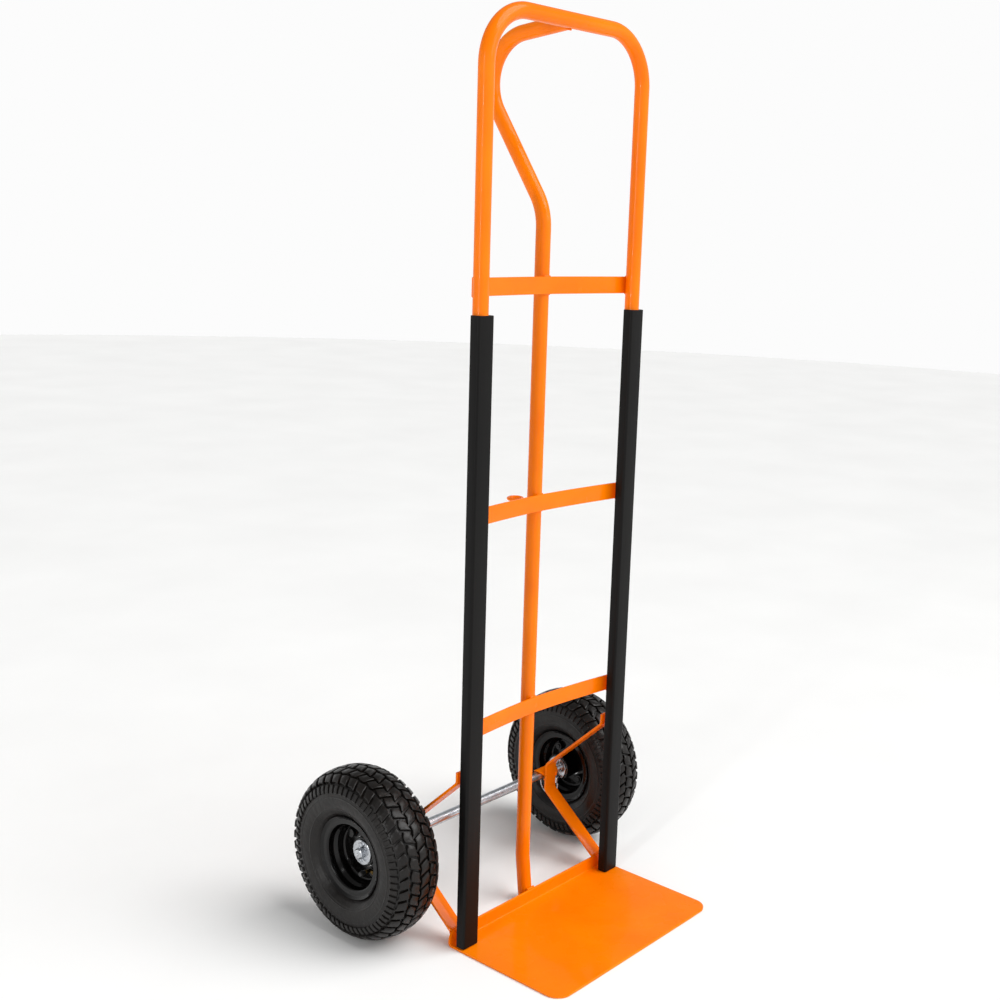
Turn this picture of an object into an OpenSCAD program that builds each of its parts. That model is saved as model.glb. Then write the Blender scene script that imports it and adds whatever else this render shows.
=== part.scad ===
// Hand truck with a bent-tube frame, a loop handle at the back and two pneumatic wheels.
// Millimetres. The origin is on the floor, midway between the uprights, in their plane.
// +X is to the right seen from the toe plate's side, +Y to the back, +Z up.

/* [Frame tube] */
// Outer diameter of the frame tube
tube_d = 22; // [20:0.5:25]
// Wall thickness of the frame tube
tube_wall = 1.5; // [1.2:0.1:2.5]
// Distance between the axes of the two uprights
upright_gap = 326.8; // [280:1:400]
// Height of the main loop's top, outside
loop_h = 1334; // [1200:1:1400]
// Bend radius of the loop's two top corners, on the tube's axis
loop_bend_r = 75; // [50:1:120]

/* [Loop handle and centre tube] */
// Distance of the centre tube behind the uprights, axis to axis
centre_y = 38.7; // [36:0.1:60]
// Lean of the handle's leg behind the vertical, in degrees
leg_lean = 35; // [28:1:40]
// Bend radius of the handle's grip, on the tube's axis
grip_r = 68; // [60:1:72]
// Distance of the grip's bend centre behind the uprights
grip_y = 78; // [72:1:84]
// Height of the grip's bend centre
grip_z = 1243; // [1239:1:1245]
// Rise of the grip's end towards the loop, in degrees
grip_rise = 8; // [6:0.5:9]
// Height at which the centre tube starts to bend towards the toe plate
foot_bend_z = 76; // [60:1:100]

/* [Crossbars] */
// Heights of the crossbars' middles
bar_heights = [327, 644, 963];
// Height of a crossbar's strap
bar_h = 25; // [20:1:30]
// Thickness of a crossbar's strap
bar_t = 3; // [2:0.5:4]
// Distance by which a crossbar reaches past an upright's axis
bar_past = 4; // [3:0.1:8]

/* [Toe plate] */
// Width of the toe plate
toe_w = 361; // [352:1:420]
// Distance of the toe plate's front edge before the uprights
toe_reach = 200; // [150:1:260]
// Thickness of the toe plate
toe_t = 4; // [3:0.5:5]
// Radius of the toe plate's front corners
toe_corner_r = 25; // [10:1:50]
// Height of the upturned flange behind the uprights
flange_h = 24; // [20:1:40]
// Distance of the flange's back face behind the uprights
flange_back = 18.5; // [17:0.5:20]
// Radius of the flange's two top corners
flange_corner_r = 14; // [6:1:18]

/* [Guards] */
// Width of the guard strip clipped over an upright
guard_w = 31; // [26:0.5:32]
// Distance of the guard's front face before the upright's axis
guard_front = 12.2; // [12:0.1:14]
// Distance of the guard's back lips behind the upright's axis
guard_back = 3.7; // [2:0.1:6]
// Corner radius of the guard
guard_corner_r = 4; // [2:0.5:6]
// Height of the guard's lower end
guard_z0 = 5; // [5:1:20]
// Height of the guard's upper end
guard_z1 = 927; // [800:1:930]

/* [Axle and brackets] */
// Distance of the axle behind the uprights
axle_y = 141; // [130:1:150]
// Height of the axle, which is the tyre's outer radius
axle_z = 130; // [125:1:135]
// Diameter of the axle
axle_d = 16; // [12:0.5:20]
// Distance of the axle's end from the middle
axle_end = 248; // [246:1:250]
// Width of the bracket's strap
bracket_w = 25; // [20:1:30]
// Thickness of the bracket's strap
bracket_t = 4; // [3:0.5:5]
// Outer diameter of the sleeve welded round the axle
sleeve_d = 22; // [20:0.5:22]

/* [Wheels] */
// Distance of the tyre's middle plane from the frame's middle
wheel_x = 234; // [232:1:236]
// Width of the tyre
tyre_w = 84; // [76:1:84]
// Thickness of the pressed rim's sheet
rim_t = 2; // [1.5:0.1:2.5]
// Outer diameter of the hub's tube
hub_d = 45; // [44:0.5:46]
// Distance of the hub's inner end inside the tyre's middle plane
hub_in = 36; // [34:1:36]
// Distance of the hub's outer end outside the tyre's middle plane
hub_out = 4; // [2:1:4]
// Diameter of the circle of rim bolts
bolt_circle = 67; // [64:1:70]
// Number of rim bolts
bolt_count = 4; // [3:1:6]

/* [Hidden] */
$fn = 64;

tube_r = tube_d / 2;
bore_r = tube_r - tube_wall;
bend_swell = 0.05;
bend_reach = 0.5;
upright_x = upright_gap / 2;
loop_top_z = loop_h - tube_r;
loop_corner_z = loop_top_z - loop_bend_r;
loop_corner_x = upright_x - loop_bend_r;

bar_end_y = tube_r + 0.1;
bar_mid_y = centre_y - tube_r - bar_t - 0.1;
bar_curve = 1.6;
bar_steps = 24;

leg_bend_r = 80;
leg_top = [grip_y, grip_z] + grip_r * [cos(leg_lean), -sin(leg_lean)];
leg_foot_z = leg_top.y - (leg_top.x - centre_y) / tan(leg_lean);
grip_end = [grip_y, grip_z] + grip_r * [sin(grip_rise), cos(grip_rise)];
foot_y = flange_back + tube_r + 0.3;
foot_bend_r = 24;

toe_bend_r = 6;
toe_front_y = -toe_reach;

bracket_front_y = tube_r + 0.1;
bracket_tab_z = 274;
bracket_bend_z = 257;
bracket_back_y = axle_y - sleeve_d / 2 - bracket_t / 2;
bracket_high_z = 152;
bracket_low_z = 106.5;
bracket_foot_z = 20.5;
bracket_bend_r = 9;
bracket_hook_r = 14;
sleeve_fit = 0.1;
sleeve_in = 140;
sleeve_out = 186;
sleeve_mitre = 27;

linch_x = 191;
linch_r = 2.5;
linch_ring_r = 19;
washer_d = 38;
washer_t = 2;
split_x = 243.2;
split_r = 1.6;

bead_r = 50;
well_r = 45;
lip_r = 62.5;
tyre_mid_r = 91;
tyre_crown = axle_z - tyre_mid_r;
tyre_seat = 40;
tyre_wall = 6;
tube_low_r = tyre_mid_r - tyre_crown + 12;
tyre_shape = 2.35;
bead_s = 26.8;
bearing_d = 40;
bearing_w = 12;
bearing_fit = 0.05;
bolt_r = 4;
valve_angle = 118;
valve_s = 13.5;
valve_r = 3;

orange = "#F26A0A";
satin_black = "#26241F";
rubber_black = "#2B2826";
gloss_black = "#101010";
zinc = "#C9CCD0";
brass = "#B5924C";

// Points along an arc, in a plane
function arc_points(centre, r, from, to, steps = 12) =
    [for (i = [0:steps]) let (a = from + (to - from) * i / steps) centre + r * [cos(a), sin(a)]];

// Points that round the corner b of the path a, b, c with radius r
function corner_points(a, b, c, r, steps = 6) =
    let (u = (a - b) / norm(a - b), v = (c - b) / norm(c - b),
         half = acos(u * v) / 2,
         middle = b + (u + v) / norm(u + v) * r / sin(half),
         p = b + u * r / tan(half), q = b + v * r / tan(half),
         from = atan2(p.y - middle.y, p.x - middle.x),
         to = atan2(q.y - middle.y, q.x - middle.x),
         turn = (to - from + 540) % 360 - 180)
    arc_points(middle, r, from, from + turn, steps);

// A path with each inner corner rounded to its own radius
function rounded(path, radii) = concat(
    [path[0]],
    [for (i = [1:len(path) - 2])
        each corner_points(path[i - 1], path[i], path[i + 1], radii[i - 1])],
    [path[len(path) - 1]]);

// Direction across a path at its point i
function across(path, i) =
    let (d = path[min(i + 1, len(path) - 1)] - path[max(i - 1, 0)], n = [-d.y, d.x])
    n / norm(n);

// Outline of a sheet of thickness t whose middle follows a path
function sheet_outline(path, t) = let (last = len(path) - 1) concat(
    [for (i = [0:last]) path[i] + across(path, i) * t / 2],
    [for (i = [last:-1:0]) path[i] - across(path, i) * t / 2]);

// Turns a drawing's x into Y, its y into Z and its height into X
module side_view() {
    rotate([90, 0, 90]) children();
}

// Puts a piece drawn for the right side on the right (1) or the left (-1)
module on_side(side) {
    mirror([side < 0 ? 1 : 0, 0, 0]) children();
}

// A bent rod that starts up along Z. Each leg is [length, bend radius, turn]: after its
// length the rod turns towards +X, or away from it where the turn is negative. The bends
// swell a hair and the straight lengths reach a little into them
module bent_rod(legs, r, i = 0) {
    leg = legs[i];
    bend_r = leg[1];
    flip = leg[2] < 0 ? 180 : 0;
    before = i > 0 ? bend_reach : 0;
    after = i < len(legs) - 1 ? bend_reach : 0;
    translate([0, 0, -before])
        cylinder(h = leg[0] + before + after, r = r);
    if (i < len(legs) - 1)
        translate([0, 0, leg[0]])
            rotate([0, 0, flip])
                translate([bend_r, 0, 0]) {
                    rotate([90, 0, 180])
                        rotate_extrude(angle = abs(leg[2]))
                            translate([bend_r, 0])
                                circle(r = r + bend_swell);
                    rotate([0, abs(leg[2]), 0])
                        translate([-bend_r, 0, 0])
                            rotate([0, 0, flip])
                                bent_rod(legs, r, i + 1);
                }
}

// The same legs with the first and the last one longer
function longer(legs, more) = let (last = len(legs) - 1)
    [for (i = [0:last]) legs[i] + [i == 0 || i == last ? more : 0, 0, 0]];

module bent_tube(legs) {
    difference() {
        bent_rod(legs, tube_r);
        translate([0, 0, -1])
            bent_rod(longer(legs, 1), bore_r);
    }
}

module main_loop() {
    leg = loop_corner_z - toe_t;
    color(orange)
        translate([-upright_x, 0, toe_t])
            bent_tube([
                [leg, loop_bend_r, 90],
                [2 * loop_corner_x, loop_bend_r, 90],
                [leg, 0, 0]
            ]);
}

// The tube starts below the plate's top and ends past the loop's axis, and is cut back there
module centre_tube() {
    start_z = 1;
    past = 2;
    horn_y = 5;
    foot_lean = atan2(centre_y - foot_y, foot_bend_z - start_z);
    foot_tangent = foot_bend_r * tan(foot_lean / 2);
    leg_tangent = leg_bend_r * tan(leg_lean / 2);
    color(orange) difference() {
        translate([0, foot_y, start_z])
            rotate([0, 0, 90])
                rotate([0, foot_lean, 0])
                    bent_tube([
                        [norm([centre_y - foot_y, foot_bend_z - start_z]) - foot_tangent,
                            foot_bend_r, -foot_lean],
                        [leg_foot_z - foot_bend_z - foot_tangent - leg_tangent,
                            leg_bend_r, leg_lean],
                        [norm(leg_top - [centre_y, leg_foot_z]) - leg_tangent,
                            grip_r, grip_rise - leg_lean - 90],
                        [grip_end.x / cos(grip_rise) + past, 0, 0]
                    ]);
        translate([0, 0, loop_top_z])
            rotate([0, 90, 0])
                cylinder(h = 60, r = tube_r + 0.05, center = true);
        translate([-30, horn_y - 40, loop_top_z - 30])
            cube([60, 40, 60]);
        translate([-30, 0, toe_t - 10])
            cube([60, 60, 10]);
    }
}

module crossbar(z) {
    reach = upright_x + bar_past;
    bow = bar_mid_y - bar_end_y;
    middle = [for (i = [-bar_steps:bar_steps]) let (x = reach * i / bar_steps)
        [x, bar_t / 2 + bar_end_y + bow * (1 - pow(abs(x) / upright_x, bar_curve))]];
    color(orange)
        translate([0, 0, z - bar_h / 2])
            linear_extrude(bar_h)
                polygon(sheet_outline(middle, bar_t));
}

module tie_ring() {
    ring_y = 77;
    tie_z = 642;
    ring_r = 10.5;
    wire_r = 2.6;
    shank_r = 2.2;
    color(orange)
        translate([0, 0, tie_z]) {
            translate([0, ring_y, 0])
                rotate_extrude()
                    translate([ring_r, 0])
                        circle(r = wire_r);
            translate([0, centre_y + tube_r + 0.1, 0])
                rotate([-90, 0, 0])
                    cylinder(h = ring_y - ring_r - centre_y - tube_r, r = shank_r);
        }
}

module toe_plate() {
    flat_back_y = flange_back - toe_bend_r;
    flat_w = toe_w - 2 * toe_corner_r;
    flange_low = flange_h - flange_corner_r;
    color(orange) {
        linear_extrude(toe_t) {
            translate([-toe_w / 2, toe_front_y + toe_corner_r])
                square([toe_w, toe_reach - toe_corner_r + flat_back_y]);
            translate([-flat_w / 2, toe_front_y])
                square([flat_w, toe_corner_r + 1]);
            for (side = [-1, 1])
                translate([side * flat_w / 2, toe_front_y + toe_corner_r])
                    circle(r = toe_corner_r);
        }
        translate([-toe_w / 2, flat_back_y, toe_bend_r])
            rotate([90, 0, 90])
                rotate([0, 0, -90])
                    linear_extrude(toe_w)
                        intersection() {
                            difference() {
                                circle(r = toe_bend_r);
                                circle(r = toe_bend_r - toe_t);
                            }
                            square(toe_bend_r);
                        }
        translate([0, flange_back, 0])
            rotate([90, 0, 0])
                linear_extrude(toe_t) {
                    translate([-toe_w / 2, toe_bend_r])
                        square([toe_w, flange_low - toe_bend_r]);
                    translate([-toe_w / 2 + flange_corner_r, toe_bend_r])
                        square([toe_w - 2 * flange_corner_r, flange_h - toe_bend_r]);
                    intersection() {
                        for (side = [-1, 1])
                            translate([side * (toe_w / 2 - flange_corner_r), flange_low])
                                circle(r = flange_corner_r);
                        translate([-toe_w / 2, toe_bend_r])
                            square([toe_w, flange_h]);
                    }
                }
    }
}

module guard(side) {
    straight_w = guard_w - 2 * guard_corner_r;
    deep = guard_front + guard_back;
    color(satin_black)
        translate([side * upright_x, 0, guard_z0])
            linear_extrude(guard_z1 - guard_z0)
                difference() {
                    union() {
                        translate([-guard_w / 2, -guard_front + guard_corner_r])
                            square([guard_w, deep - guard_corner_r - 1.5]);
                        translate([-straight_w / 2, -guard_front])
                            square([straight_w, deep]);
                        translate([-guard_w / 2 + 1.5, 0])
                            square([guard_w - 3, guard_back]);
                        for (edge = [-1, 1]) {
                            translate([edge * straight_w / 2, -guard_front + guard_corner_r])
                                circle(r = guard_corner_r);
                            translate([edge * (guard_w / 2 - 1.5), guard_back - 1.5])
                                circle(r = 1.5);
                        }
                    }
                    circle(r = tube_r + 0.05);
                }
}

module bracket(side) {
    path = [
        [bracket_front_y + bracket_t / 2, bracket_tab_z],
        [bracket_front_y + bracket_t / 2, bracket_bend_z],
        [bracket_back_y, bracket_high_z],
        [bracket_back_y, bracket_low_z],
        [flange_back - 5, bracket_foot_z - 5 * (bracket_low_z - bracket_foot_z)
            / (bracket_back_y - flange_back)]
    ];
    radii = [bracket_bend_r, bracket_hook_r, bracket_bend_r];
    color(orange)
        translate([side * upright_x - bracket_w / 2, 0, 0])
            side_view()
                linear_extrude(bracket_w)
                    difference() {
                        polygon(sheet_outline(rounded(path, radii), bracket_t));
                        translate([flange_back - 20, 0])
                            square([20 + 0.05, 60]);
                    }
}

// The inner end is cut at a slant, longer at the top
module sleeve(side) {
    length = sleeve_out - sleeve_in;
    slant = atan2(sleeve_mitre, sleeve_d);
    color(orange)
        on_side(side)
            translate([sleeve_in, axle_y, axle_z])
                difference() {
                    rotate([0, 90, 0])
                        cylinder(h = length, r = sleeve_d / 2);
                    translate([-1, 0, 0])
                        rotate([0, 90, 0])
                            cylinder(h = length + 2, r = axle_d / 2 + sleeve_fit);
                    translate([0, 0, sleeve_d / 2])
                        rotate([0, -slant, 0])
                            translate([-30, -20, -60])
                                cube([30, 40, 80]);
                }
}

module axle() {
    chamfer = 1.5;
    tip_r = axle_d / 2 - chamfer;
    color(zinc)
        translate([0, axle_y, axle_z])
            difference() {
                rotate([0, 90, 0]) {
                    cylinder(h = 2 * (axle_end - chamfer), r = axle_d / 2, center = true);
                    for (side = [-1, 1])
                        rotate([0, side > 0 ? 0 : 180, 0])
                            translate([0, 0, axle_end - chamfer])
                                cylinder(h = chamfer, r1 = axle_d / 2, r2 = tip_r);
                }
                for (side = [-1, 1]) {
                    translate([side * linch_x, 0, 0])
                        cylinder(h = axle_d + 2, r = linch_r + 0.2, center = true);
                    translate([side * split_x, 0, 0])
                        cylinder(h = axle_d + 2, r = split_r + 0.4, center = true);
                }
            }
}

module washer_ring(x) {
    translate([x, axle_y, axle_z])
        rotate([0, 90, 0])
            difference() {
                cylinder(h = washer_t, r = washer_d / 2);
                translate([0, 0, -1])
                    cylinder(h = washer_t + 2, r = axle_d / 2 + 0.2);
            }
}

module inner_washers() {
    x = wheel_x - hub_in - 0.5;
    color(zinc) {
        washer_ring(x - washer_t);
        washer_ring(-x);
    }
}

module outer_washers() {
    x = wheel_x + hub_out + 0.5;
    color(zinc) {
        washer_ring(x);
        washer_ring(-x - washer_t);
    }
}

module split_pins() {
    eye_r = 3;
    drop = axle_d / 2 + 6;
    color(zinc)
        for (side = [-1, 1])
            translate([side * split_x, axle_y, axle_z]) {
                translate([0, 0, -drop])
                    cylinder(h = 2 * drop - 2, r = split_r);
                translate([0, 0, drop + 0.5])
                    rotate([0, 90, 0])
                        rotate_extrude()
                            translate([eye_r, 0])
                                circle(r = split_r);
            }
}

// A pin through the axle, with a block at its lower end and a wire ring in the block
module linch_pin(side) {
    pin_top = axle_z + axle_d / 2 + 4;
    block = [axle_y - 8, axle_z - axle_d / 2 - 17];
    ring_middle = block + [20, -6];
    color(zinc)
        on_side(side)
            translate([linch_x, 0, 0])
                side_view() {
                    translate([axle_y, pin_top, 0])
                        rotate([90, 0, 0])
                            cylinder(h = pin_top - block.y - 5, r = linch_r);
                    translate([block.x, block.y, -3.5])
                        cube([13, 11, 7]);
                    translate([ring_middle.x, ring_middle.y, 0])
                        rotate_extrude()
                            translate([linch_ring_r, 0])
                                circle(r = 1.4);
                }
}

// Spins a drawing round the right wheel's axle: its x is the distance outward from the tyre's
// middle and its y is the radius
module spun() {
    translate([wheel_x, axle_y, axle_z])
        rotate([0, 90, 0])
            rotate_extrude($fn = 96)
                rotate([0, 0, 90])
                    mirror([0, 1])
                        children();
}

// Half-width of the tyre's outline at a height above its middle radius, grown by g
function bulge(a, wide, high) =
    [wide * sign(cos(a)) * pow(abs(cos(a)), 2 / tyre_shape),
     tyre_mid_r + high * sign(sin(a)) * pow(abs(sin(a)), 2 / tyre_shape)];

// Below the sidewall the tyre draws in, so that its bead sits inside the rim's lips
module tyre(side) {
    lower_angle = -22;
    flank = [[bead_s, 58.6], [29.9, 63.9], [34, 67.2]];
    far_flank = [for (i = [len(flank) - 1:-1:0]) [-flank[i].x, flank[i].y]];
    outer = [for (i = [0:32]) let (a = lower_angle + (180 - 2 * lower_angle) * i / 32)
        bulge(a, tyre_w / 2, a > 0 && a < 180 ? tyre_crown : tyre_seat)];
    inner = [for (i = [28:-1:0]) let (a = -50 + 280 * i / 28)
        bulge(a, tyre_w / 2 - tyre_wall, (a > 0 && a < 180 ? tyre_crown - 10 : tyre_seat - 8))];
    bead = bead_r + rim_t / 2 + 0.1;
    heel = 1.7;
    foot = [[17, bead], [bead_s - heel, bead], [bead_s, bead + heel]];
    far_foot = [for (i = [len(foot) - 1:-1:0]) [-foot[i].x, foot[i].y]];
    color(rubber_black)
        on_side(side)
            spun()
                polygon(concat(flank, outer, far_flank, far_foot, inner, foot));
}

module inner_tube(side) {
    outer = [for (i = [0:35]) bulge(i * 10, tyre_w / 2 - tyre_wall - 1.2, tyre_crown - 12)];
    inner = [for (i = [0:35]) bulge(i * 10, tyre_w / 2 - tyre_wall - 3.4, tyre_crown - 14.2)];
    color(rubber_black)
        on_side(side)
            spun()
                difference() {
                    polygon(outer);
                    polygon(inner);
                }
}

function rim_path(way) = rounded([
    [way * rim_t / 2, hub_d / 2 + 0.5],
    [way * rim_t / 2, well_r],
    [way * 13, well_r + 0.5],
    [way * 18, bead_r],
    [way * 28, bead_r],
    [way * 28.5, lip_r - 4],
    [way * 31.5, lip_r + 0.5]], [5, 3, 3, 2.5, 3]);

// The places of the rim bolts on the right wheel, each pointing outward
module rim_bolt_places() {
    for (i = [0:bolt_count - 1])
        translate([wheel_x, axle_y, axle_z])
            rotate([45 + 360 * i / bolt_count, 0, 0])
                translate([0, 0, bolt_circle / 2])
                    rotate([0, 90, 0])
                        children();
}

// The right wheel's valve, with +Z away from the axle and +X outward
module valve_place() {
    translate([wheel_x, axle_y, axle_z])
        rotate([valve_angle, 0, 0])
            translate([valve_s, 0, 0])
                children();
}

// The outer half has way 1, and the inner half way -1
module rim_half(side, way) {
    color(gloss_black)
        on_side(side)
            difference() {
                spun()
                    polygon(sheet_outline(rim_path(way), rim_t));
                rim_bolt_places()
                    cylinder(h = 20, r = bolt_r + 0.3, center = true);
                if (way > 0)
                    valve_place()
                        cylinder(h = bead_r + 10, r = valve_r + 2.5);
            }
}

module hub(side) {
    seat = bearing_w + 0.5;
    length = hub_in + hub_out;
    color(gloss_black)
        on_side(side)
            translate([wheel_x - hub_in, axle_y, axle_z])
                rotate([0, 90, 0])
                    difference() {
                        cylinder(h = length, r = hub_d / 2);
                        translate([0, 0, -1])
                            cylinder(h = seat + 1, r = bearing_d / 2);
                        translate([0, 0, length - seat])
                            cylinder(h = seat + 1, r = bearing_d / 2);
                        translate([0, 0, seat - 1])
                            cylinder(h = length - 2 * seat + 2, r = bearing_d / 2 - 3);
                    }
}

module bearings(side) {
    groove = 0.6;
    rim_width = 3;
    color(zinc)
        on_side(side)
            for (place = [0.5, hub_in + hub_out - bearing_w - 0.5])
                translate([wheel_x - hub_in + place, axle_y, axle_z])
                    rotate([0, 90, 0])
                        difference() {
                            cylinder(h = bearing_w, r = bearing_d / 2 - 0.05);
                            translate([0, 0, -1])
                                cylinder(h = bearing_w + 2, r = axle_d / 2 + bearing_fit);
                            for (face = [-1, bearing_w - groove])
                                translate([0, 0, face])
                                    difference() {
                                        cylinder(h = groove + 1, r = bearing_d / 2 - rim_width);
                                        translate([0, 0, -1])
                                            cylinder(h = groove + 3, r = axle_d / 2 + rim_width);
                                    }
                        }
}

module rim_bolts(side) {
    color(gloss_black)
        on_side(side)
            rim_bolt_places() {
                translate([0, 0, rim_t])
                    cylinder(h = 5.3, r = 7, $fn = 6);
                translate([0, 0, -rim_t - 8])
                    cylinder(h = rim_t * 2 + 9, r = bolt_r);
            }
}

module rim_nuts(side) {
    color(gloss_black)
        on_side(side)
            rim_bolt_places()
                translate([0, 0, -rim_t - 6.5])
                    difference() {
                        cylinder(h = 6.5, r = 7, $fn = 6);
                        translate([0, 0, -1])
                            cylinder(h = 9, r = bolt_r + 0.05);
                    }
}

// The stem comes in through the rim towards the axle, then turns outward
module valve(side) {
    turn_r = 6;
    turn_z = 38;
    color(brass)
        on_side(side)
            valve_place() {
                translate([0, 0, turn_z])
                    cylinder(h = tube_low_r - 0.5 - turn_z, r = valve_r);
                translate([turn_r, 0, turn_z])
                    rotate([90, 0, 0])
                        rotate([0, 0, 180])
                            rotate_extrude(angle = 90)
                                translate([turn_r, 0])
                                    circle(r = valve_r);
                translate([turn_r, 0, turn_z - turn_r])
                    rotate([0, 90, 0])
                        cylinder(h = 6, r = valve_r);
            }
}

module valve_cap(side) {
    color(rubber_black)
        on_side(side)
            valve_place()
                translate([12.1, 0, 32])
                    rotate([0, 90, 0]) {
                        cylinder(h = 7, r = 4);
                        translate([0, 0, 7])
                            cylinder(h = 1.5, r1 = 4, r2 = 3);
                    }
}

main_loop();
centre_tube();
crossbar(bar_heights[0]);  // crossbar_bottom
crossbar(bar_heights[1]);  // crossbar_middle
crossbar(bar_heights[2]);  // crossbar_top
tie_ring();
toe_plate();
guard(-1);  // guard_left
guard(1);  // guard_right
bracket(-1);  // bracket_left
bracket(1);  // bracket_right
sleeve(-1);  // sleeve_left
sleeve(1);  // sleeve_right
axle();
inner_washers();
outer_washers();
split_pins();
linch_pin(-1);  // linch_pin_left
linch_pin(1);  // linch_pin_right
tyre(-1);  // tyre_left
inner_tube(-1);  // inner_tube_left
rim_half(-1, 1);  // rim_outer_left
rim_half(-1, -1);  // rim_inner_left
hub(-1);  // hub_left
bearings(-1);  // bearings_left
rim_bolts(-1);  // rim_bolts_left
rim_nuts(-1);  // rim_nuts_left
valve(-1);  // valve_left
valve_cap(-1);  // valve_cap_left
tyre(1);  // tyre_right
inner_tube(1);  // inner_tube_right
rim_half(1, 1);  // rim_outer_right
rim_half(1, -1);  // rim_inner_right
hub(1);  // hub_right
bearings(1);  // bearings_right
rim_bolts(1);  // rim_bolts_right
rim_nuts(1);  // rim_nuts_right
valve(1);  // valve_right
valve_cap(1);  // valve_cap_right
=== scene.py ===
"""A hand truck: powder-coated tube frame, clip-on guards and two pneumatic wheels."""

import math

import bmesh
import bpy
from mathutils import Matrix, Vector


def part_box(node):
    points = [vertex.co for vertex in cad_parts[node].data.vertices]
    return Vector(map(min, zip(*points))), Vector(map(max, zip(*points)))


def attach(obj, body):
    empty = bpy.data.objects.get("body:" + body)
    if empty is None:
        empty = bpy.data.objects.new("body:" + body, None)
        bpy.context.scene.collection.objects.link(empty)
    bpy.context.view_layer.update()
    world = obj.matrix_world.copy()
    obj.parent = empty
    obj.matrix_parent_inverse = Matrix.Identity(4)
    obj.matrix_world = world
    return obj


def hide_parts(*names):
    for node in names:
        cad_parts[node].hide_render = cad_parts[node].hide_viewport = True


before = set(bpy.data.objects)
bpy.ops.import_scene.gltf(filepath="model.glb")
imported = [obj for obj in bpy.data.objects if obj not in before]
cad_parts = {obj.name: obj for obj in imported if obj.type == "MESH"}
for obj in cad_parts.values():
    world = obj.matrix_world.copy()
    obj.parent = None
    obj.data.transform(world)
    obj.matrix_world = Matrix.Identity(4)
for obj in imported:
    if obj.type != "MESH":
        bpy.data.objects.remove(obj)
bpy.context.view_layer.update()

# Sizes are in millimetres until piece() turns them into metres
MM = 0.001
X, Y, Z = Vector((1, 0, 0)), Vector((0, 1, 0)), Vector((0, 0, 1))
SIDES = {"left": -1, "right": 1}


def span(node):
    """Lowest and highest corner of a CAD node."""
    return [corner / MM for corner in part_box(node)]


# ---------------------------------------------------------------- sizes

loop_lo, loop_hi = span("main_loop")
plate_lo, plate_hi = span("toe_plate")
guard_lo, guard_hi = span("guard_right")
bracket_lo, bracket_hi = span("bracket_right")
sleeve_lo, sleeve_hi = span("sleeve_right")
axle_lo, axle_hi = span("axle")
tyre_lo, tyre_hi = span("tyre_right")
hub_lo, hub_hi = span("hub_right")

TUBE_R = loop_hi.y
UPRIGHT_X = loop_hi.x - TUBE_R
LOOP_Z = loop_hi.z - TUBE_R
LOOP_BEND = 75

MIDDLE_Y = 38.7
FOOT_Y = 29.8
FOOT_Z = 1
FOOT_BEND_Z = 76
FOOT_BEND = 24
LEG_LEAN = 35
LEG_BEND = 80
GRIP_BEND = 68
GRIP_AT = Vector((78, 1243))
GRIP_RISE = 8

BAR_THICK = 3
BAR_END_Y = TUBE_R + 0.1
BAR_BOW = MIDDLE_Y - 2 * TUBE_R - BAR_THICK - 0.2
BAR_CURVE = 1.6

PLATE_THICK = 4
PLATE_CORNER = 25
PLATE_BEND = 6
FLANGE_CORNER = 14

GUARD_CORNER = 4
GUARD_LIP = 1.5

STRAP_THICK = 4
STRAP_BEND = 9
STRAP_HOOK = 14
STRAP_TAB_Z = 257
STRAP_HIGH_Z = 152
STRAP_LOW_Z = 106.5
STRAP_FOOT_Z = 22
SLEEVE_R = (sleeve_hi.z - sleeve_lo.z) / 2
SLEEVE_MITRE = 27
AXLE_R = (axle_hi.z - axle_lo.z) / 2
AXLE_Y = (axle_lo.y + axle_hi.y) / 2
AXLE_Z = (axle_lo.z + axle_hi.z) / 2
WASHER_THICK = 2
LINCH_X = 191
SPLIT_X = 243.2

WHEEL_X = (tyre_lo.x + tyre_hi.x) / 2
TYRE_R = (tyre_hi.z - tyre_lo.z) / 2
TYRE_HALF = (tyre_hi.x - tyre_lo.x) / 2
TYRE_MID_R = 91
TYRE_SEAT = 40
TYRE_WALL = 6
SEAT_ANGLE = 22
TREAD_HIGH = 4.8
BEAD_S = 26.8
BEAD_HEEL = 1.7
HUB_R = (hub_hi.z - hub_lo.z) / 2
BEARING_R = 20
BEARING_W = 12
WELL_R = 45
WELL_AT = 13
BEAD_R = 50
BEAD_FROM = 18
BEAD_TO = 28
LIP_R = 62.5
LIP_AT = 31.5
RIM_THICK = 2
BOLT_RING = 33.5
BOLT_COUNT = 4
VALVE_TURN = 118
VALVE_OUT = 13.5
VALVE_ROOT_R = 63.4
VALVE_TIP_R = 32


# ---------------------------------------------------------------- finishes

def linear(hex_colour):
    """The linear colour of an sRGB hex value."""
    parts = [int(hex_colour[i:i + 2], 16) / 255 for i in (1, 3, 5)]
    return [p / 12.92 if p <= 0.04045 else ((p + 0.055) / 1.055) ** 2.4 for p in parts] + [1]


def per(size):
    """The texture scale that gives features of a size in millimetres."""
    return 1 / (size * MM)


def add(tree, kind, values=None, links=None, **settings):
    """Adds a node, sets its settings and socket values, and links its sockets."""
    made = tree.nodes.new("ShaderNode" + kind)
    for key, value in settings.items():
        setattr(made, key, value)
    for socket, value in (values or {}).items():
        made.inputs[socket].default_value = value
    for socket, (source, output) in (links or {}).items():
        tree.links.new(source.outputs[output], made.inputs[socket])
    return made


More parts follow.
